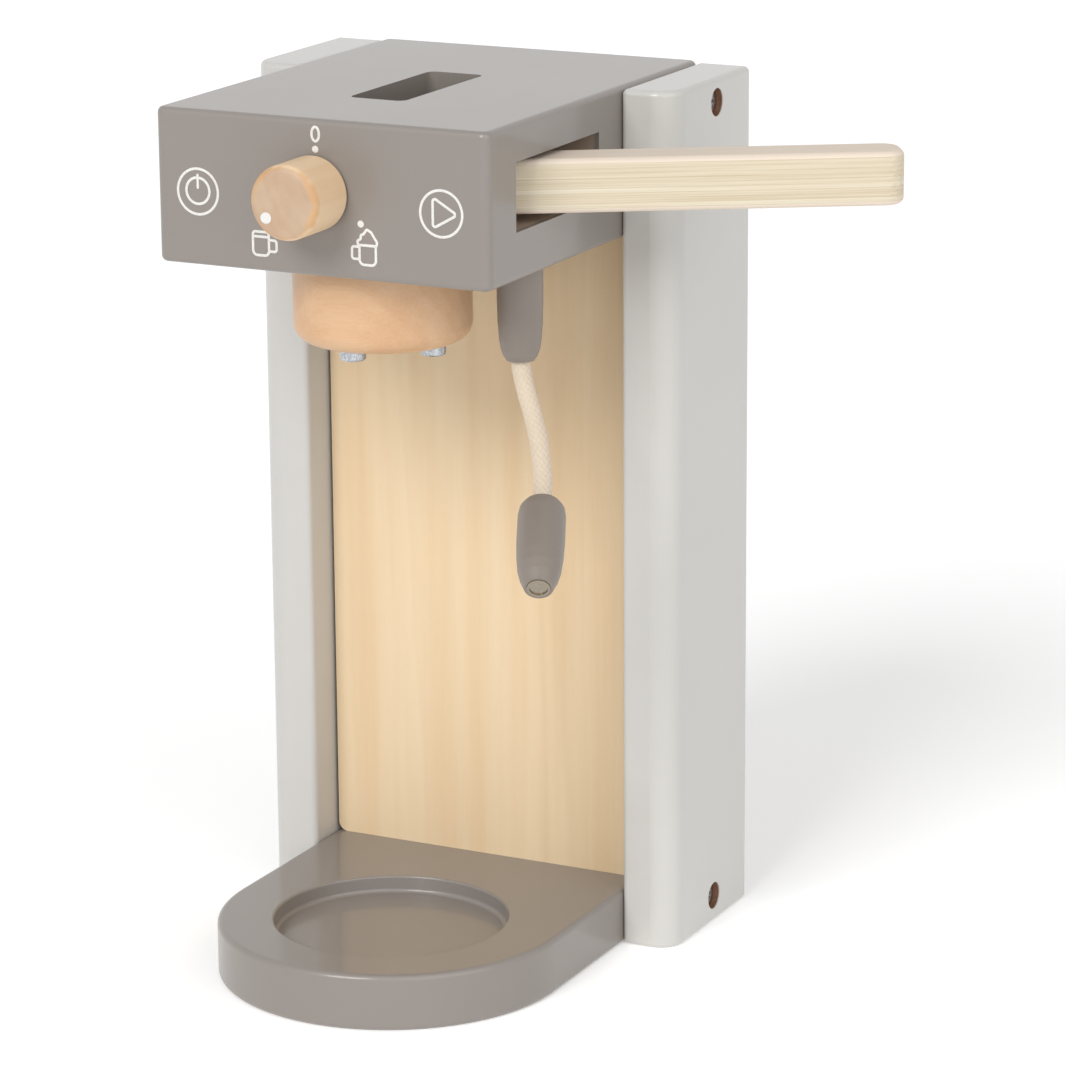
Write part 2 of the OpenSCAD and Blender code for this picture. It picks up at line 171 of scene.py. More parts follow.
class FinishColours(bpy.types.PropertyGroup):
    """Colours of the finishes"""

    light_paint: colour_setting("Posts", "Paint of the posts", 197, 195, 191)
    taupe_paint: colour_setting("Head and base", "Paint of the head and the base", 136, 129, 123)
    # Paler paint inside the head: partly thin paint, partly painted light for light that reaches into the
    # channel
    inner_paint_and_light: colour_setting("Inside the head", "Thin paint on the pod channel's walls", 176, 157, 141)
    turned_paint: colour_setting("Steam hose", "Paint of the steam hose's turned pieces", 134, 125, 117)
    drilled_wood: colour_setting("Pockets", "Bare wood in the screw pockets", 144, 100, 74)
    panel: colour_setting("Panel", "Pale wood of the back panel", 227, 205, 171)
    panel_grain: colour_setting("Panel's grain", "Darker wood in the panel's rings", 213, 179, 134)
    beech: colour_setting("Beech", "Pale wood of the turned pieces", 215, 180, 143)
    beech_grain: colour_setting("Beech's grain", "Darker wood in the turned pieces' rings", 196, 146, 104)
    end_beech: colour_setting("Knob", "Pale wood of the knob", 235, 208, 172)
    end_beech_grain: colour_setting("Knob's grain", "Darker wood in the knob's rings", 214, 172, 130)
    ply: colour_setting("Lever", "Pale plies of the lever", 218, 209, 188)
    ply_grain: colour_setting("Lever's lines", "Darker plies and the lines between them", 188, 170, 139)
    ply_face: colour_setting("Lever's faces", "The veneers on top of the lever and under it", 227, 212, 195)
    cotton: colour_setting("Rope", "Cotton of the rope", 216, 201, 180)
    ink: colour_setting("Print", "Ink of the marks", 228, 226, 222)
    zinc: colour_setting("Screws", "Zinc of the screws", 208, 212, 217)
    steel: colour_setting("Disc", "Steel of the nozzle's disc", 167, 157, 142)


class LightSettings(bpy.types.PropertyGroup):
    """Studio light"""

    key: FloatProperty(name="Key", description="Strength of the lamp over the object's front", default=1.66)
    fill: FloatProperty(name="Fill", description="Strength of the lamp from the right", default=0.95)
    room: FloatProperty(name="Room", description="Strength of the light from all round", default=0.42)
    table: FloatProperty(name="Table", description="Light that the floor gives of its own", default=0.27)


# ---- Meshes ----


def add_piece(name, vertices, faces, body, material):
    """A smooth mesh object at the origin from whole arrays of corners and faces, riding on a body."""
    mesh = bpy.data.meshes.new(name)
    mesh.from_pydata(np.asarray(vertices).tolist(), [], faces)
    mesh.materials.append(material)
    mesh.polygons.foreach_set("use_smooth", np.full(len(mesh.polygons), True))
    mesh.validate()
    mesh.update()
    piece = bpy.data.objects.new(name, mesh)
    bpy.context.scene.collection.objects.link(piece)
    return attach(piece, body)


def grid_faces(rows, columns, loop_rows):
    """Quads of a grid whose columns close on themselves, and whose rows do if loop_rows says so."""
    row, column = np.meshgrid(np.arange(rows if loop_rows else rows - 1), np.arange(columns), indexing="ij")
    after_row, after_column = (row + 1) % rows, (column + 1) % columns
    corners = [row * columns + column, row * columns + after_column,
               after_row * columns + after_column, after_row * columns + column]
    return np.stack(corners, axis=-1).reshape(-1, 4).tolist()


# ---- The rope ----


def smooth_route(points, start_way, end_way, count):
    """A smooth curve through the route's points: between two points, the cubic that leaves each along
    the line from the point before it to the point after it. Returns places, directions and lengths."""
    points = np.asarray(points, float)
    step = np.linalg.norm(np.diff(points, axis=0), axis=1)
    ways = np.vstack([start_way, points[2:] - points[:-2], end_way])
    ways /= np.linalg.norm(ways, axis=1)[:, None]
    at = np.linspace(0, len(step) - 1e-9, count)
    i = at.astype(int)
    t = (at - i)[:, None]
    h = step[i][:, None]
    a, b, p, q = points[i], points[i + 1], ways[i] * h, ways[i + 1] * h
    places = (2 * t**3 - 3 * t**2 + 1) * a + (t**3 - 2 * t**2 + t) * p
    places += (3 * t**2 - 2 * t**3) * b + (t**3 - t**2) * q
    directions = np.gradient(places, axis=0)
    directions[0], directions[-1] = ways[0], ways[-1]
    directions /= np.linalg.norm(directions, axis=1)[:, None]
    lengths = np.append(0, np.cumsum(np.linalg.norm(np.diff(places, axis=0), axis=1)))
    return places, directions, lengths


def braid(along, around, strands):
    """Height of a plain braid, 0 to 1, and the number of the strand on top. Two families of strands wind
    round in opposite ways. In each cell of the net that they make, the families take turns on top, and
    the top strand is round across its width and arched along its length."""
    narrowing, arch = 1.8, 1.4
    first, second = around * strands - along, around * strands + along
    cell = np.floor(first) + np.floor(second)
    on_top = np.mod(cell, 2) < 1
    across = np.where(on_top, first, second) % 1 - 0.5
    length = np.where(on_top, second, first) % 1 - 0.5
    height = np.sqrt(np.clip(1 - (narrowing * across) ** 2, 0, 1)) * (1 - arch * length**2)
    strand = np.where(on_top, np.floor(first), 0.5 + np.floor(second)) % strands
    return height, strand


def make_rope(settings, colours):
    """The rope: a tube carried along the route, whose radius follows a plain braid of cotton strands."""
    route = (np.array(ROPE_MOUTH) + np.array(ROPE_STEPS)) * MM
    into_nozzle = [math.sin(NOZZLE_TILT) * math.cos(NOZZLE_TURN),
                   math.sin(NOZZLE_TILT) * math.sin(NOZZLE_TURN), -math.cos(NOZZLE_TILT)]
    sections, sides = 261, 162
    places, directions, lengths = smooth_route(route, [0, 0, -1], into_nozzle, sections)
    crosswise = np.array([0.9, 0.45, 0])
    u = np.cross(crosswise, directions)
    u /= np.linalg.norm(u, axis=1)[:, None]
    v = np.cross(directions, u)
    around = np.arange(sides) / sides
    turn = 2 * math.pi * around
    turns = lengths[:, None] / settings.pitch * settings.strands
    height, strand = braid(turns + 0 * around, around[None, :] + 0 * turns, settings.strands)
    radius = settings.radius - settings.relief * (1 - height)
    outward = np.cos(turn)[None, :, None] * u[:, None, :] + np.sin(turn)[None, :, None] * v[:, None, :]
    wall = places[:, None, :] + radius[..., None] * outward
    vertices = np.vstack([wall.reshape(-1, 3), places[0], places[-1]])
    faces = grid_faces(sections, sides, False)
    start, end, last = sections * sides, sections * sides + 1, (sections - 1) * sides
    near = np.arange(sides)
    after = (near + 1) % sides
    faces += np.stack([after, near, np.full(sides, start)], axis=-1).tolist()
    faces += np.stack([last + near, last + after, np.full(sides, end)], axis=-1).tolist()
    rope = add_piece("braided_rope", vertices, faces, "stand", cotton_material(colours))
    add_values(rope, "strand_height", np.append(height.ravel(), [0, 0]))
    add_values(rope, "strand_number", np.append(strand.ravel(), [0, 0]) / settings.strands)
    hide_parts("steam_rope")


def add_values(piece, name, values):
    """A named number at every corner of a mesh, for its material."""
    attribute = piece.data.attributes.new(name, "FLOAT", "POINT")
    attribute.data.foreach_set("value", np.asarray(values, np.float32))


# ---- Printed marks ----


def arc(centre, radius, start, end, count):
    """Points on a circle between two angles in degrees, both ends included."""
    angle = np.radians(np.linspace(start, end, count))
    return np.array(centre) + np.stack([np.cos(angle), np.sin(angle)], axis=-1) * np.array(radius)


def ring(centre, radius, count=72):
    """A whole circle or, with two radii, an ellipse, without its last point."""
    return arc(centre, radius, 0, 360, count + 1)[:-1]


def rounded(corners, radius, closed=True, count=7):
    """A line through corners whose bends are arcs of a radius, or of one radius each: every arc touches
    both sides of its corner."""
    corners = np.asarray(corners, float)
    radii = np.broadcast_to(radius, len(corners))
    parts = []
    for i, corner in enumerate(corners):
        if not closed and i in (0, len(corners) - 1):
            parts.append(corner[None])
            continue
        before, after = corners[i - 1] - corner, corners[(i + 1) % len(corners)] - corner
        reach = min(np.linalg.norm(before), np.linalg.norm(after)) / 2
        before, after = before / np.linalg.norm(before), after / np.linalg.norm(after)
        half = math.acos(np.clip(before @ after, -1, 1)) / 2
        bend = min(radii[i], reach * math.tan(half))
        middle = corner + (before + after) / np.linalg.norm(before + after) * bend / math.sin(half)
        start, end = corner + before * bend / math.tan(half), corner + after * bend / math.tan(half)
        share = np.linspace(0, 1, count)[:, None]
        spokes = (1 - share) * (start - middle) + share * (end - middle)
        parts.append(middle + spokes / np.linalg.norm(spokes, axis=1)[:, None] * bend)
    return np.vstack(parts)


def stroke(path, width, ink, closed):
    """A printed line along a flat path: across it the ink's height is 1 - t^6, t going from -1 to 1 over
    the width, and it reaches down into the paint. An open line ends in half rounds. Returns the corners as
    (right, up, out) and the faces."""
    top_points, end_points, sharpest_bend = 9, 7, 0.4
    if closed:
        ahead = np.roll(path, -1, axis=0) - path
        behind = path - np.roll(path, 1, axis=0)
    else:
        ahead = np.diff(path, axis=0, append=2 * path[-1:] - path[-2:-1])
        behind = np.diff(path, axis=0, prepend=2 * path[:1] - path[1:2])
    ahead /= np.linalg.norm(ahead, axis=1)[:, None]
    behind /= np.linalg.norm(behind, axis=1)[:, None]
    way = ahead + behind
    way /= np.linalg.norm(way, axis=1)[:, None]
    spread = 1 / np.clip((way * ahead).sum(axis=1), sharpest_bend, 1)
    if not closed:
        lean = np.radians(np.linspace(84, 12, end_points))
        start = path[0] - way[0] * np.sin(lean)[:, None] * width / 2
        end = path[-1] + way[-1] * np.sin(lean[::-1])[:, None] * width / 2
        path = np.vstack([start, path, end])
        way = np.vstack([np.tile(way[0], (end_points, 1)), way, np.tile(way[-1], (end_points, 1))])
        spread = np.concatenate([np.cos(lean), spread, np.cos(lean[::-1])])
    left = np.stack([-way[:, 1], way[:, 0]], axis=-1) * spread[:, None] * width / 2
    across = np.linspace(-1, 1, top_points)
    rise = ink * (1 - across**6)
    section = np.concatenate([across, [1, -1]])
    height = np.concatenate([rise, [-ink, -ink]])
    flat = path[:, None, :] + left[:, None, :] * section[None, :, None]
    corners = np.concatenate([flat, np.broadcast_to(height[None, :, None], flat.shape[:2] + (1,))], axis=2)
    faces = grid_faces(len(path), len(section), closed)
    if not closed:
        last = (len(path) - 1) * len(section)
        faces += [list(range(len(section)))[::-1], [last + k for k in range(len(section))]]
    return corners.reshape(-1, 3), faces


def line(path, closed=False, width=None):
    """A line to print: its path, whether it closes, and its own width if it has one, in millimetres."""
    return np.asarray(path, float), closed, width


def print_marks(name, lines, width, ink, origin, body, material):
    """One mesh of printed lines on a face that looks along -Y, to the right and up from the origin."""
    corners, faces = [], []
    for path, closed, own_width in lines:
        made, quads = stroke(path * MM, own_width * MM if own_width else width, ink, closed)
        first = sum(len(c) for c in corners)
        corners.append(made)
        faces += [[first + k for k in face] for face in quads]
    flat = np.vstack(corners)
    placed = np.stack([flat[:, 0], -flat[:, 2], flat[:, 1]], axis=-1) + np.array(origin)
    add_piece(name, placed, faces, body, material)


def dot(centre, radius):
    """A round spot: a very short line as wide as the spot."""
    centre = np.asarray(centre, float)
    return line([centre - (0.01, 0), centre + (0.01, 0)], width=2 * radius)


def power_mark(centre, radius):
    """A ring round a broken circle with a bar in its gap."""
    x, z = centre
    gap = 10
    return [line(ring(centre, radius), True), line(arc((x, z + 0.25), 4.3, 90 + gap, 450 - gap, 48)),
            line([(x, z + 1.3), (x, z + 5.4)])]


def play_mark(centre, radius):
    """A ring round a triangle with soft corners."""
    x, z = centre
    return [line(ring(centre, radius), True),
            line(rounded([(x - 3, z - 4.9), (x + 5.7, z), (x - 3, z + 5.1)], 0.8), True)]


def cup_mark(left, low):
    """A cup with a soft bottom, its filling line and a handle on the right."""
    right, fill = left + 5.9, low + 6.1
    body = [(left, low + 7.7), (left, low), (right, low), (right, low + 7.7)]
    handle = [(right, low + 5.2), (right + 2.8, low + 5.2), (right + 2.8, low + 1.5), (right, low + 1.5)]
    return [line(rounded(body, (1, 1.6, 1.6, 1)), True), line(rounded(handle, 0.9, False)),
            line([(left, fill), (right, fill)])]


def foam_mark(left, low):
    """A mug with a pointed heap of foam and a handle on the left."""
    right, top = left + 5.9, low + 6.2
    body = [(left, top), (left, low), (right, low), (right, top)]
    handle = [(left, top - 0.5), (left - 2.7, top - 0.5), (left - 2.7, low + 1.7), (left, low + 1.7)]
    heap = [(-0.5, 0.1), (-0.7, 1.4), (0.5, 2.1), (0.6, 3.4), (1.6, 3.7), (2.7, 5.3), (4.3, 4.5), (5.3, 3),
            (6.4, 1.4), (6.2, 0.1)]
    heap = [(left + x, top + z) for x, z in heap]
    return [line(rounded(body, 1.6, False)), line(rounded(handle, 0.8, False)),
            line(rounded(heap, 0.5), True)]


# ---- Node trees ----


def add_node(tree, kind, inputs=None, **settings):
    """A node with its settings. Its inputs are values, or sockets to link."""
    made = tree.nodes.new(kind)
    for key, value in settings.items():
        setattr(made, key, value)
    for key, value in (inputs or {}).items():
        if isinstance(value, bpy.types.NodeSocket):
            tree.links.new(value, made.inputs[key])
        else:
            made.inputs[key].default_value = value
    return made


def maths(tree, operation, first, second=0.5, third=0.5, clamp=False):
    """The result of a Math node."""
    return add_node(tree, "ShaderNodeMath", {0: first, 1: second, 2: third}, operation=operation,
                    use_clamp=clamp).outputs[0]


def weighted(tree, terms, clamp=False):
    """The sum of values times their weights, given in pairs. No value or weight is below zero."""
    total = 0.0
    for value, weight in terms:
        total = maths(tree, "MULTIPLY_ADD", value, weight, total, clamp)
    return total


def vector_maths(tree, operation, first, second=(0, 0, 0)):
    """The vector that a Vector Math node gives."""
    return add_node(tree, "ShaderNodeVectorMath", {0: first, 1: second}, operation=operation).outputs[0]


def length_of(tree, vector):
    """How long a vector is."""
    return add_node(tree, "ShaderNodeVectorMath", {0: vector}, operation="LENGTH").outputs["Value"]


def part_of(tree, vector, axis):
    """A vector's part along one axis, from 0 for X to 2 for Z."""
    return add_node(tree, "ShaderNodeSeparateXYZ", {0: vector}).outputs[axis]


def from_parts(tree, x, y=0.0, z=0.0):
    """A vector from its parts."""
    return add_node(tree, "ShaderNodeCombineXYZ", {0: x, 1: y, 2: z}).outputs[0]


def object_place(tree):
    """Object coordinates, in metres."""
    return add_node(tree, "ShaderNodeTexCoord").outputs["Object"]


def in_millimetres(tree, vector):
    """A vector in metres, in millimetres."""
    return vector_maths(tree, "MULTIPLY", vector, (1 / MM, 1 / MM, 1 / MM))


def drawn_out(tree, vector, share):
    """A vector whose Z is brought down to a share, which draws a noise out along Z."""
    return vector_maths(tree, "MULTIPLY", vector, (1, 1, share))


def noise(tree, vector, scale, detail=2.0, roughness=0.5, output="Fac"):
    """A Noise Texture's value, or another of its outputs."""
    return add_node(tree, "ShaderNodeTexNoise", {"Vector": vector, "Scale": scale, "Detail": detail,
                    "Roughness": roughness}).outputs[output]


def chance(tree, number):
    """A value from 0 to 1 that every number has of its own."""
    return add_node(tree, "ShaderNodeTexWhiteNoise", {"W": number}, noise_dimensions="1D").outputs["Value"]


def span(tree, value, low, high, to_low=0.0, to_high=1.0):
    """A value carried smoothly from one range to another, and held at its ends."""
    return add_node(tree, "ShaderNodeMapRange", {"Value": value, "From Min": low, "From Max": high,
                    "To Min": to_low, "To Max": to_high}, interpolation_type="SMOOTHSTEP").outputs[0]


def blend_colours(tree, share, first, second, kind="MIX"):
    """A Mix Color node's colour. Each colour is a socket, or a red, green and blue."""
    colours = [c if isinstance(c, bpy.types.NodeSocket) else (*c, 1) for c in (first, second)]
    return add_node(tree, "ShaderNodeMix", {0: share, 6: colours[0], 7: colours[1]},
                    data_type="RGBA", blend_type=kind).outputs[2]


def tinted(tree, colour, shares):
    """A colour whose red, green and blue are each brought down to a share."""
    return blend_colours(tree, 1.0, colour, shares, "MULTIPLY")


def dimmed(colour, shares):
    """A red, green and blue, all brought down to one share or each to a share of its own."""
    return tuple(np.multiply(colour, shares))


def new_group(name, inputs, outputs):
    """An empty node group with named sockets, each given as (name, kind, default)."""
    tree = bpy.data.node_groups.new(name, "ShaderNodeTree")
    for label, kind, default in inputs:
        socket = tree.interface.new_socket(label, in_out="INPUT", socket_type="NodeSocket" + kind)
        if default is not None:
            socket.default_value = default
    for label, kind in outputs:
        tree.interface.new_socket(label, in_out="OUTPUT", socket_type="NodeSocket" + kind)
    start = tree.nodes.new("NodeGroupInput").outputs
    end = tree.nodes.new("NodeGroupOutput").inputs
    return tree, start, end


def use_group(tree, name, inputs):
    """The outputs of a group, placed in a material."""
    return add_node(tree, "ShaderNodeGroup", inputs, node_tree=bpy.data.node_groups[name]).outputs


def link_all(tree, inputs, sockets):
    """Links every socket to the input of its name."""
    for name, socket in sockets.items():
        tree.links.new(socket, inputs[name])


def make_grain_group():
    """Solid wood: growth rings are cylinders about the local Z axis, of a ring width, pushed about by a
    noise that is drawn out along the grain. Flecks and fibres are finer noises drawn out the same way."""
    tree, given, out = new_group(
        "Wood Grain", [("Vector", "Vector", None), ("Ring Width", "Float", 3.0), ("Waviness", "Float", 3.0)],
        [(name, "Float") for name in ("Rings", "Flecks", "Fibres", "Clouds", "Height")])
    in_mm = in_millimetres(tree, given["Vector"])
    drawn = drawn_out(tree, in_mm, 0.045)
    push = vector_maths(tree, "SUBTRACT", noise(tree, drawn, 0.045, output="Color"), (0.5, 0.5, 0.5))
    wave = from_parts(tree, given["Waviness"], given["Waviness"])
    pushed = vector_maths(tree, "ADD", drawn, vector_maths(tree, "MULTIPLY", push, wave))
    from_pith = length_of(tree, vector_maths(tree, "MULTIPLY", pushed, (1, 1, 0)))
    fine_push = maths(tree, "MULTIPLY", noise(tree, drawn, 0.35), 0.5)
    count = maths(tree, "ADD", maths(tree, "DIVIDE", from_pith, given["Ring Width"]), fine_push)
    phase = maths(tree, "FRACT", count)
    late = maths(tree, "MULTIPLY", span(tree, phase, 0.05, 0.7), span(tree, phase, 0.72, 1.0, 1, 0))
    year = chance(tree, maths(tree, "FLOOR", count))
    flecks = span(tree, noise(tree, drawn_out(tree, in_mm, 0.11), 2.1), 0.6, 0.74)
    fibres = noise(tree, drawn_out(tree, in_mm, 0.018), 1.6, 5, 0.68)
    hollow = maths(tree, "MULTIPLY", flecks, 0.5)
    link_all(tree, out, {
        "Rings": maths(tree, "MULTIPLY", late, span(tree, year, 0, 1, 0.45, 1.0)),
        "Flecks": flecks,
        "Fibres": span(tree, fibres, 0.25, 0.75),
        "Clouds": span(tree, noise(tree, drawn, 0.09), 0.3, 0.7),
        "Height": maths(tree, "SUBTRACT", maths(tree, "MULTIPLY", fibres, 0.6), hollow)})


def make_lacquer_group():
    """Sprayed paint on wood: broad clouds in its tone, a fine peel, and the wood's long fibres just
    showing through along the local Z axis."""
    tree, given, out = new_group(
        "Sprayed Paint", [("Vector", "Vector", None), ("Color", "Color", (0.5, 0.5, 0.5, 1))],
        [("Color", "Color"), ("Roughness", "Float"), ("Height", "Float")])
    roughness = 0.45
    in_mm = in_millimetres(tree, given["Vector"])
    clouds = span(tree, noise(tree, in_mm, 0.022, 3, 0.55), 0.3, 0.7)
    fibres = noise(tree, drawn_out(tree, in_mm, 0.02), 0.9, 4, 0.6)
    speck = noise(tree, in_mm, 3.2, 2, 0.6)
    peel = noise(tree, in_mm, 0.75)
    tone = weighted(tree, [(clouds, 0.05), (fibres, 0.05), (speck, 0.035)])
    tone = maths(tree, "MULTIPLY", tone, 7.5, clamp=True)
    rough = maths(tree, "MULTIPLY_ADD", maths(tree, "SUBTRACT", speck, 0.5), 0.16, roughness)
    darker = tinted(tree, given["Color"], (0.93, 0.925, 0.915))
    link_all(tree, out, {
        "Color": blend_colours(tree, tone, darker, given["Color"]),
        "Roughness": maths(tree, "MULTIPLY_ADD", clouds, 0.04, rough),
        "Height": weighted(tree, [(fibres, 0.5), (peel, 0.35), (speck, 0.15)])})


# ---- Materials ----


def new_material(name, **values):
    """A material with a Principled shader whose plain sockets hold the given values."""
    material = bpy.data.materials.new(name)
    material.use_nodes = True
    tree = material.node_tree
    shader = next(n for n in tree.nodes if n.type == "BSDF_PRINCIPLED")
    for key, value in values.items():
        shader.inputs[key.replace("_", " ")].default_value = value
    return material, tree, shader


def link_shader(tree, shader, colour, roughness, height=None, depth=None):
    """Links a colour and a roughness to a shader and, where there is a height, a bump of a real depth."""
    link_all(tree, shader.inputs, {"Base Color": colour, "Roughness": roughness})
    if depth:
        bump = add_node(tree, "ShaderNodeBump", {"Height": height, "Distance": depth, "Strength": 1.0})
        tree.links.new(bump.outputs[0], shader.inputs["Normal"])


def placed(tree, centre=(0, 0, 0), turn=ALONG_Z):
    """Object coordinates from a centre, then turned so that the wood's grain runs along local Z."""
    shift = tuple(-c for c in centre)
    shifted = add_node(tree, "ShaderNodeMapping", {"Vector": object_place(tree), "Location": shift})
    turned = add_node(tree, "ShaderNodeMapping", {"Vector": shifted.outputs[0], "Rotation": turn})
    return turned.outputs[0]


def wood_material(name, pale, dark, centre, turn, rings, waviness, shares, roughness, end=None, right_shade=None):
    """Bare wood. shares gives how strongly rings, flecks, fibres and clouds darken the pale wood. A turned
    piece whose end grain looks along -Y has an end: the middle of that face and its radius, where painted
    shade and a darker rim go. A board whose right part gets painted shade gives where that shade begins and
    where it is full, from the centre."""
    # How far the painted shade darkens the board's right part, and how far its edge wanders
    right_shade_tint, right_shade_wander = (0.88, 0.86, 0.83), 12 * MM
    material, tree, shader = new_material(name, IOR=1.46, Coat_Weight=0.06, Coat_Roughness=0.35)
    local = placed(tree, centre, turn)
    grain = use_group(tree, "Wood Grain", {"Vector": local, "Ring Width": rings, "Waviness": waviness})
    layers = [grain[kind] for kind in ("Rings", "Flecks", "Fibres", "Clouds")]
    colour = blend_colours(tree, weighted(tree, zip(layers, shares), True), pale, dark)
    # The knob's end face gets painted shade, and a darker amber band along its rim
    if end:
        colour = shaded_end_and_amber_rim(tree, colour, *end)
    if right_shade:
        # Painted shade: the board's right part darkened, its edge wandering with the clouds
        across = maths(tree, "MULTIPLY_ADD", grain["Clouds"], right_shade_wander, part_of(tree, local, 0))
        colour = blend_colours(tree, span(tree, across, *right_shade), colour, tinted(tree, colour, right_shade_tint))
    rough = maths(tree, "MULTIPLY_ADD", grain["Fibres"], 0.12, roughness)
    link_shader(tree, shader, colour, rough, grain["Height"], 0.06 * MM)
    return material


def shaded_end_and_amber_rim(tree, colour, middle, radius):
    """End grain whose face looks along -Y. The wood near the face is darkened with painted shade, so that
    the face, which meets the lamps head on, is no brighter than the side; it is darkest and most amber in an
    uneven band along the rim."""
    face_shade_tint, rim_tint, rim_wander = (0.63, 0.61, 0.65), (0.74, 0.6, 0.46), -3.6 * MM
    coordinates = object_place(tree)
    from_middle = vector_maths(tree, "SUBTRACT", coordinates, tuple(middle))
    depth = part_of(tree, from_middle, 1)
    from_axis = length_of(tree, vector_maths(tree, "MULTIPLY", from_middle, (1, 0, 1)))
    from_rim = length_of(tree, from_parts(tree, depth, maths(tree, "SUBTRACT", radius, from_axis)))
    wander = noise(tree, coordinates, 130)
    uneven = maths(tree, "MULTIPLY_ADD", wander, rim_wander, from_rim)
    rim = span(tree, uneven, -1.2 * MM, 0.8 * MM, 1, 0)
    rim = maths(tree, "MULTIPLY", rim, span(tree, wander, 0.35, 0.55, 0.35, 1))
    face = span(tree, depth, 0.3 * MM, 1.3 * MM, 1, 0)
    # Painted shade on the end face
    shaded_face = blend_colours(tree, face, colour, tinted(tree, colour, face_shade_tint))
    return blend_colours(tree, rim, shaded_face, tinted(tree, colour, rim_tint))


def sprayed_material(name, colour, turn, varnish):
    """A material under a share of satin varnish, and the paint group's outputs in it, not linked yet."""
    material, tree, shader = new_material(name, IOR=1.45, Coat_Weight=varnish, Coat_Roughness=0.12)
    coat = use_group(tree, "Sprayed Paint", {"Vector": placed(tree, turn=turn), "Color": (*colour, 1)})
    return material, tree, shader, coat


def painted_material(name, colour, turn, varnish=VARNISH, inside=None):
    """Sprayed paint over wood whose grain runs along the board, under varnish. Boards that are paler inside,
    partly thin paint and partly painted light, have an inside: its colour, and the corners of the box that
    all of them fill."""
    material, tree, shader, coat = sprayed_material(name, colour, turn, varnish)
    seen = thin_paint_and_light_inside(tree, coat["Color"], *inside) if inside else coat["Color"]
    link_shader(tree, shader, seen, coat["Roughness"], coat["Height"], PAINT_RELIEF)
    return material


def thin_paint_and_light_inside(tree, colour, inner, low, high):
    """Paint that goes paler inside a box, partly thin paint and partly painted light: its depth is the least
    way to one of the box's sides, and from 1 to 2.5 mm deep the colour goes over to the inner one."""
    from_middle = vector_maths(tree, "SUBTRACT", object_place(tree), tuple((low + high) / 2))
    sideways = vector_maths(tree, "ABSOLUTE", from_middle)
    ways = vector_maths(tree, "SUBTRACT", tuple((high - low) / 2), sideways)
    depth = part_of(tree, ways, 0)
    for axis in (1, 2):
        depth = maths(tree, "MINIMUM", depth, part_of(tree, ways, axis))
    # Partly painted light: the inside is paler than the outer paint
    return blend_colours(tree, span(tree, depth, 1 * MM, 2.5 * MM), colour, inner)


def post_material(colours):
    """The posts' paint, with bare wood in the screw pockets: inside the circle round each pocket's axis,
    from a little below the painted face inwards."""
    pocket_margin, paint_depth = 0.75 * MM, 0.35 * MM
    material, tree, shader, coat = sprayed_material("pale grey paint", colours.light_paint, ALONG_Z, VARNISH)
    low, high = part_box("post_screws")
    head_radius = (high.y - low.y) / 2
    coordinates = object_place(tree)
    reach = []
    for height in (low.z + head_radius, high.z - head_radius):
        away = vector_maths(tree, "SUBTRACT", coordinates, (0, (low.y + high.y) / 2, height))
        reach.append(length_of(tree, vector_maths(tree, "MULTIPLY", away, (0, 1, 1))))
    in_pocket = maths(tree, "LESS_THAN", maths(tree, "MINIMUM", *reach), head_radius + pocket_margin)
    sideways = maths(tree, "ABSOLUTE", part_of(tree, coordinates, 0))
    below_paint = maths(tree, "LESS_THAN", sideways, POST_RIGHT - paint_depth)
    bare = maths(tree, "MULTIPLY", in_pocket, below_paint)
    fibres = use_group(tree, "Wood Grain", {"Vector": placed(tree), "Ring Width": 1.6})["Fibres"]
    wood = blend_colours(tree, fibres, colours.drilled_wood, dimmed(colours.drilled_wood, 0.55))
    rough = maths(tree, "MAXIMUM", coat["Roughness"], maths(tree, "MULTIPLY", bare, 0.8))
    link_shader(tree, shader, blend_colours(tree, bare, coat["Color"], wood), rough, coat["Height"],
                PAINT_RELIEF)
    return material


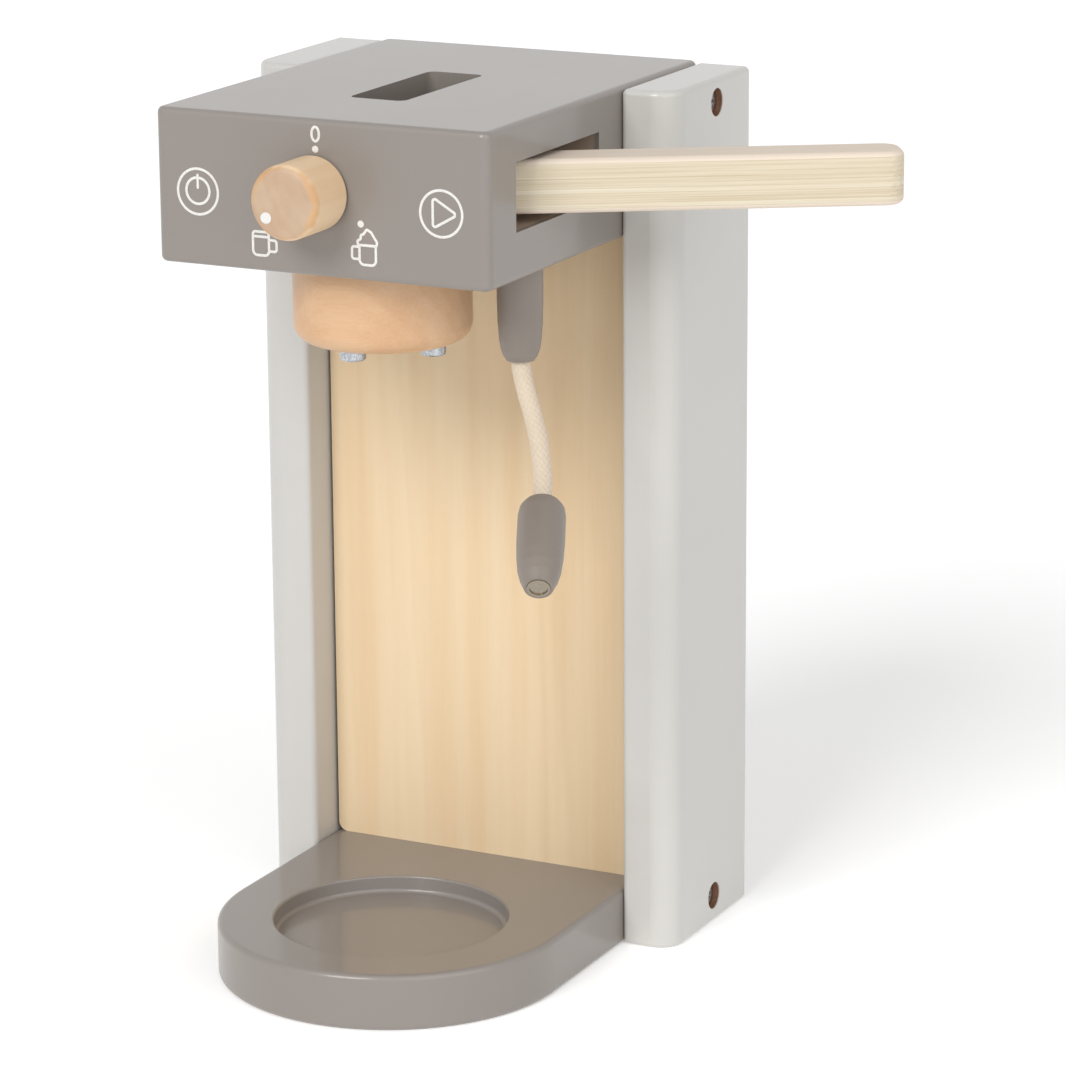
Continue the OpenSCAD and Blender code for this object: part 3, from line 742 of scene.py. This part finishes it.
def lever_material(colours):
    """Laminated wood: thin plies lie flat, each with a tone of its own and a thin line under it, and all
    have long fibres along the lever. The outermost ply on each face is a veneer of its own colour."""
    material, tree, shader = new_material("laminated lever", IOR=1.46, Coat_Weight=0.05, Coat_Roughness=0.4)
    in_mm = in_millimetres(tree, placed(tree, (*HINGE["pos_m"][:2], LEVER_LOW.z), (0, 0, -LEVER_TURN)))
    sag = noise(tree, vector_maths(tree, "MULTIPLY", in_mm, (0.014, 0.03, 0.02)), 1.0)
    level = maths(tree, "MULTIPLY_ADD", maths(tree, "SUBTRACT", sag, 0.5), 0.5, part_of(tree, in_mm, 2))
    count = maths(tree, "DIVIDE", level, (LEVER_HIGH.z - LEVER_LOW.z) / PLIES / MM)
    last = PLIES - 1.0
    number = maths(tree, "MAXIMUM", maths(tree, "MINIMUM", maths(tree, "FLOOR", count), last), 0.0)
    phase = maths(tree, "FRACT", count)
    edge = span(tree, maths(tree, "ABSOLUTE", maths(tree, "SUBTRACT", phase, 0.5)), 0.34, 0.5)
    face = maths(tree, "LESS_THAN", maths(tree, "ABSOLUTE", maths(tree, "SUBTRACT", last, number)), 0.5)
    face = maths(tree, "MAXIMUM", face, maths(tree, "LESS_THAN", number, 0.5))
    seam = maths(tree, "MULTIPLY", edge, maths(tree, "SUBTRACT", 1.0, face))
    shifted = vector_maths(tree, "ADD", in_mm, from_parts(tree, maths(tree, "MULTIPLY", number, 61.0)))
    fibres = noise(tree, vector_maths(tree, "MULTIPLY", shifted, (0.016, 1.1, 1.9)), 1.0, 5, 0.62)
    tone = chance(tree, number)
    share = weighted(tree, [(span(tree, fibres, 0.3, 0.75), 0.5), (tone, 0.32), (seam, 0.3)], True)
    pale = blend_colours(tree, face, colours.ply, colours.ply_face)
    dark = blend_colours(tree, face, colours.ply_grain, dimmed(colours.ply_face, 0.86))
    relief = maths(tree, "SUBTRACT", fibres, maths(tree, "MULTIPLY", seam, 0.4))
    link_shader(tree, shader, blend_colours(tree, share, pale, dark),
                maths(tree, "MULTIPLY_ADD", fibres, 0.15, 0.46), relief, 0.06 * MM)
    return material


def cotton_material(colours):
    """Cotton strands with a fine yarn twist: paler on top of a strand, and darker between strands as painted
    shade in the creases.
    """
    material, tree, shader = new_material("braided cotton", Sheen_Weight=0.35, Sheen_Roughness=0.5,
                                          Sheen_Tint=(1, 0.98, 0.93, 1), IOR=1.4)
    height, strand = (add_node(tree, "ShaderNodeAttribute", attribute_name=name).outputs["Fac"]
                      for name in ("strand_height", "strand_number"))
    yarn = noise(tree, in_millimetres(tree, object_place(tree)), 4.5, 3, 0.7)
    tone = chance(tree, maths(tree, "MULTIPLY", strand, 37.0))
    share = weighted(tree, [(span(tree, height, 0.1, 0.8, 0.0, 0.75), 1.0), (yarn, 0.3), (tone, 0.12)], True)
    # Painted shade in the creases between strands
    deep = dimmed(colours.cotton, (0.85, 0.81, 0.75))
    link_shader(tree, shader, blend_colours(tree, share, deep, colours.cotton),
                maths(tree, "MULTIPLY_ADD", yarn, 0.1, 0.82), yarn, 0.12 * MM)
    return material


def ink_material(colours):
    """Printed ink: nearly white, a little thinner here and there."""
    material, tree, shader = new_material("white print", IOR=1.48)
    thin = noise(tree, in_millimetres(tree, object_place(tree)), 2.4, 3, 0.6)
    colour = blend_colours(tree, span(tree, thin, 0.3, 0.75), colours.ink, dimmed(colours.ink, 0.82))
    link_shader(tree, shader, colour, maths(tree, "MULTIPLY_ADD", thin, 0.2, 0.4))
    return material


def zinc_material(colours):
    """Zinc plating: small bright and dull crystals with a fine grain."""
    material, tree, shader = new_material("zinc plating", Metallic=1.0)
    in_mm = in_millimetres(tree, object_place(tree))
    crystals = add_node(tree, "ShaderNodeTexVoronoi", {"Vector": in_mm, "Scale": 2.2}).outputs["Color"]
    bright = add_node(tree, "ShaderNodeSeparateColor", {0: crystals}).outputs[0]
    link_shader(tree, shader, blend_colours(tree, bright, dimmed(colours.zinc, 0.55), colours.zinc),
                maths(tree, "MULTIPLY_ADD", bright, 0.22, 0.24), noise(tree, in_mm, 3.0, 3, 0.7), 0.07 * MM)
    return material


def clouded_material(name, first, second, cloud_scale, roughness, grain_scale, depth, **values):
    """A smooth material with a faint cloud from one colour to another, and a fine grain."""
    material, tree, shader = new_material(name, **values)
    in_mm = in_millimetres(tree, object_place(tree))
    cloud = noise(tree, in_mm, cloud_scale)
    link_shader(tree, shader, blend_colours(tree, cloud, first, second),
                maths(tree, "MULTIPLY_ADD", cloud, 0.15, roughness), noise(tree, in_mm, grain_scale), depth)
    return material


def dress(material, *nodes):
    """Gives CAD nodes a material in place of the one that they came with."""
    for name in nodes:
        mesh = frame["nodes"][name].data
        mesh.materials.clear()
        mesh.materials.append(material)


# ---- Operators ----


class ToyOperator(bpy.types.Operator):
    """Shared settings of this file's operators"""

    bl_options = {"REGISTER", "UNDO"}


class TOY_OT_camera(ToyOperator):
    """Sets the camera where the view of the front and the right side comes from"""

    bl_idname = "toy.camera"
    bl_label = "Camera"

    def execute(self, context):
        """Builds the camera's axes from azimuth, elevation and roll, and steps back along its own."""
        s = context.scene.toy_camera
        back = Vector((math.sin(s.azimuth) * math.cos(s.elevation),
                       -math.cos(s.azimuth) * math.cos(s.elevation), math.sin(s.elevation)))
        flat_right = Vector((math.cos(s.azimuth), math.sin(s.azimuth), 0))
        flat_up = back.cross(flat_right)
        right = math.cos(s.roll) * flat_right + math.sin(s.roll) * flat_up
        up = back.cross(right)
        middle = Vector((0, 0, CAD_BOX[1].z / 2))
        place = middle + s.aim[0] * right + s.aim[1] * up + s.distance * back
        data = bpy.data.cameras.new("camera")
        data.lens, data.sensor_width = s.lens, 36
        data.clip_start, data.clip_end = 0.05, 50
        camera = bpy.data.objects.new("camera", data)
        camera.matrix_world = Matrix.Translation(place) @ Matrix((right, up, back)).transposed().to_4x4()
        context.scene.collection.objects.link(camera)
        context.scene.camera = camera
        return {"FINISHED"}


class TOY_OT_rope(ToyOperator):
    """Makes the braided rope between the ferrule and the nozzle"""

    bl_idname = "toy.rope"
    bl_label = "Rope"

    def execute(self, context):
        make_rope(context.scene.toy_rope, context.scene.toy_colours)
        return {"FINISHED"}


class TOY_OT_painted_boards(ToyOperator):
    """Paints the head, the base, the posts and the steam hose's turned pieces"""

    bl_idname = "toy.painted_boards"
    bl_label = "Painted boards"

    def execute(self, context):
        colours = context.scene.toy_colours
        dress(painted_material("taupe paint", colours.taupe_paint, ALONG_Y), "base_plate", "head_top")
        # The channel's walls are paler: partly thin paint, partly painted light
        inside = (colours.inner_paint_and_light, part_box("head_floor")[0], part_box("head_top")[1])
        dress(painted_material("taupe paint, thin paint and painted light inside", colours.taupe_paint, ALONG_Y, inside=inside),
              "head_floor", "head_frame")
        dress(painted_material("taupe paint, turned", colours.turned_paint, ALONG_Z, varnish=0.1),
              "wand_ferrule", "steam_nozzle")
        dress(post_material(colours), "left_post", "right_post")
        return {"FINISHED"}


class TOY_OT_panel(ToyOperator):
    """Gives the back panel its pale upright grain"""

    bl_idname = "toy.panel"
    bl_label = "Back panel"

    def execute(self, context):
        colours = context.scene.toy_colours
        pith = (-12 * MM, PANEL_BACK + 55 * MM, 100 * MM)
        lean = (math.radians(-1.1), math.radians(0.5), 0)
        # The panel's right part is darkened with painted shade, from 28 to 54 mm right of the wood's centre
        dress(wood_material("panel wood", colours.panel, colours.panel_grain, pith, lean, 4.2, 20,
                            (0.12, 0.03, 0.1, 0.34), 0.42, right_shade=(28 * MM, 54 * MM)), "back_panel")
        return {"FINISHED"}


class TOY_OT_lever(ToyOperator):
    """Gives the lever its plies"""

    bl_idname = "toy.lever"
    bl_label = "Lever"

    def execute(self, context):
        dress(lever_material(context.scene.toy_colours), "lever_arm")
        return {"FINISHED"}


class TOY_OT_turned_wood(ToyOperator):
    """Gives the knob, the group head and the dowels their beech"""

    bl_idname = "toy.turned_wood"
    bl_label = "Turned wood"

    def execute(self, context):
        colours = context.scene.toy_colours
        beech = (colours.beech, colours.beech_grain)
        # The knob's end face, which gets painted shade and a darker amber rim
        end = (Vector((KNOB_MIDDLE.x, KNOB_LOW.y, KNOB_MIDDLE.z)), (KNOB_HIGH.x - KNOB_LOW.x) / 2)
        dress(wood_material("beech knob", colours.end_beech, colours.end_beech_grain,
                            KNOB_MIDDLE + Vector((21, 0, 12)) * MM, ALONG_Y, 4.2, 8,
                            (0.12, 0.06, 0.12, 0.32), 0.42, end), "knob")
        low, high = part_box("group_head")
        dress(wood_material("beech group head", *beech, (low + high) / 2 + Vector((0, 50, 45)) * MM, ALONG_X,
                            4.4, 8, (0.12, 0.06, 0.3, 0.3), 0.36), "group_head")
        for name, turn, pith, nodes in (
                ("beech dowels", ALONG_X, (0.2, 0.1, 0), ("head_dowels", "base_dowels")),
                ("upright beech dowels", ALONG_Z, (0.1, 0.1, 0), ("panel_dowels", "lever_pivot"))):
            dress(wood_material(name, *beech, pith, turn, 2.5, 5, (0.5, 0.3, 0.2, 0.3), 0.5), *nodes)
        return {"FINISHED"}


class TOY_OT_fasteners(ToyOperator):
    """Gives the screws and washers their zinc and nylon"""

    bl_idname = "toy.fasteners"
    bl_label = "Fasteners"

    def execute(self, context):
        colours = context.scene.toy_colours
        dress(zinc_material(colours), "group_head_screws", "post_screws", "knob_screw", "knob_washer")
        dress(clouded_material("turned steel", dimmed(colours.steel, 0.8), colours.steel, 1.2, 0.22, 6.0,
                               0.01 * MM, Metallic=1.0), "nozzle_insert")
        dress(clouded_material("nylon", paint(236, 235, 230), paint(222, 221, 214), 0.4, 0.35, 5.0,
                               0.02 * MM, IOR=1.53), "lever_washers")
        return {"FINISHED"}


class TOY_OT_marks(ToyOperator):
    """Prints the marks on the head's front and the dot on the knob"""

    bl_idname = "toy.marks"
    bl_label = "Printed marks"

    def execute(self, context):
        s = context.scene.toy_marks
        material = ink_material(context.scene.toy_colours)
        radius, spot = s.ring / MM, s.dot / MM
        lines = power_mark((-43.2, -3.0), radius) + play_mark((45.4, -3.2), radius)
        lines += cup_mark(-23.1, -22) + foam_mark(15.9, -21.9)
        lines += [line(ring((0.6, 18.9), (1.35, 2.3), 36), True)]
        lines += [dot(place, spot) for place in ((0.5, 14.0), (16.5, -8.8), (-16.5, -8.8))]
        front = (KNOB_MIDDLE.x, HEAD_FRONT, KNOB_MIDDLE.z)
        print_marks("front_marks", lines, s.line, s.ink, front, "stand", material)
        face = (KNOB_MIDDLE.x, KNOB_LOW.y, KNOB_MIDDLE.z)
        print_marks("knob_dot", [dot((-6.0, -5.0), s.knob_dot / MM)], s.line, s.ink, face, "knob", material)
        return {"FINISHED"}


class TOY_OT_stage(ToyOperator):
    """Lays the pale floor and sets the studio light"""

    bl_idname = "toy.stage"
    bl_label = "Stage"

    def execute(self, context):
        light = context.scene.toy_light
        scene = context.scene
        scene.view_settings.view_transform = "Standard"
        world = bpy.data.worlds.new("studio")
        scene.world = world
        world.use_nodes = True
        tree = world.node_tree
        path = add_node(tree, "ShaderNodeLightPath").outputs
        seen = maths(tree, "MAXIMUM", path["Is Camera Ray"], path["Is Glossy Ray"])
        seen = maths(tree, "MAXIMUM", seen, path["Is Transmission Ray"])
        strength = add_node(tree, "ShaderNodeMix", {0: seen, 2: light.room, 3: 1.0}).outputs[0]
        background = next(n for n in tree.nodes if n.type == "BACKGROUND")
        background.inputs["Color"].default_value = (1, 1, 1, 1)
        tree.links.new(strength, background.inputs["Strength"])
        for name, energy, width, azimuth, elevation in (
                ("key", light.key, 28, -5, 34), ("fill", light.fill, 60, 60, 23)):
            data = bpy.data.lights.new(name, "SUN")
            data.energy, data.angle = energy, math.radians(width)
            lamp = bpy.data.objects.new(name, data)
            lamp.rotation_euler = [math.radians(t) for t in (90 - elevation, 0, azimuth)]
            scene.collection.objects.link(lamp)
        make_floor(light.table)
        return {"FINISHED"}


def make_floor(glow):
    """A flat floor of one cell, many times the object's size. It glows a little, like a light table, and
    keeps the object's shadow."""
    half = 12.0
    corners = [(-half, -half, 0), (half, -half, 0), (half, half, 0), (-half, half, 0)]
    mesh = bpy.data.meshes.new("floor")
    mesh.from_pydata(corners, [], [[0, 1, 2, 3]])
    paper, white = (0.95, 0.95, 0.95, 1), (1, 1, 1, 1)
    mesh.materials.append(new_material("white paper", Base_Color=paper, Roughness=0.9, IOR=1.3,
                                       Emission_Color=white, Emission_Strength=glow)[0])
    floor = bpy.data.objects.new("floor", mesh)
    bpy.context.scene.collection.objects.link(floor)


# ---- Registration ----

OPERATORS = (TOY_OT_camera, TOY_OT_rope, TOY_OT_painted_boards, TOY_OT_panel, TOY_OT_lever,
             TOY_OT_turned_wood, TOY_OT_fasteners, TOY_OT_marks, TOY_OT_stage)
SETTINGS = {"toy_camera": CameraSettings, "toy_rope": RopeSettings, "toy_marks": MarkSettings,
            "toy_colours": FinishColours, "toy_light": LightSettings}


class TOY_PT_panel(bpy.types.Panel):
    """Lists the operators in the order in which they run"""

    bl_idname = "TOY_PT_panel"
    bl_label = "Toy Coffee Maker"
    bl_space_type = "VIEW_3D"
    bl_region_type = "UI"
    bl_category = "Toy"

    def draw(self, context):
        for operator in OPERATORS:
            self.layout.operator(operator.bl_idname)
        for name, group in SETTINGS.items():
            box = self.layout.box()
            box.label(text=group.__doc__)
            for prop in group.__annotations__:
                box.prop(getattr(context.scene, name), prop)


def register():
    for group in SETTINGS.values():
        bpy.utils.register_class(group)
    for cls in (*OPERATORS, TOY_PT_panel):
        bpy.utils.register_class(cls)
    for name, group in SETTINGS.items():
        setattr(bpy.types.Scene, name, PointerProperty(type=group))


def unregister():
    for name in SETTINGS:
        delattr(bpy.types.Scene, name)
    for cls in (TOY_PT_panel, *OPERATORS[::-1], *SETTINGS.values()):
        bpy.utils.unregister_class(cls)


def main():
    """Runs every operator in its order."""
    register()
    make_grain_group()
    make_lacquer_group()
    for operator in OPERATORS:
        family, name = operator.bl_idname.split(".")
        getattr(getattr(bpy.ops, family), name)()


if __name__ == "__main__":
    main()
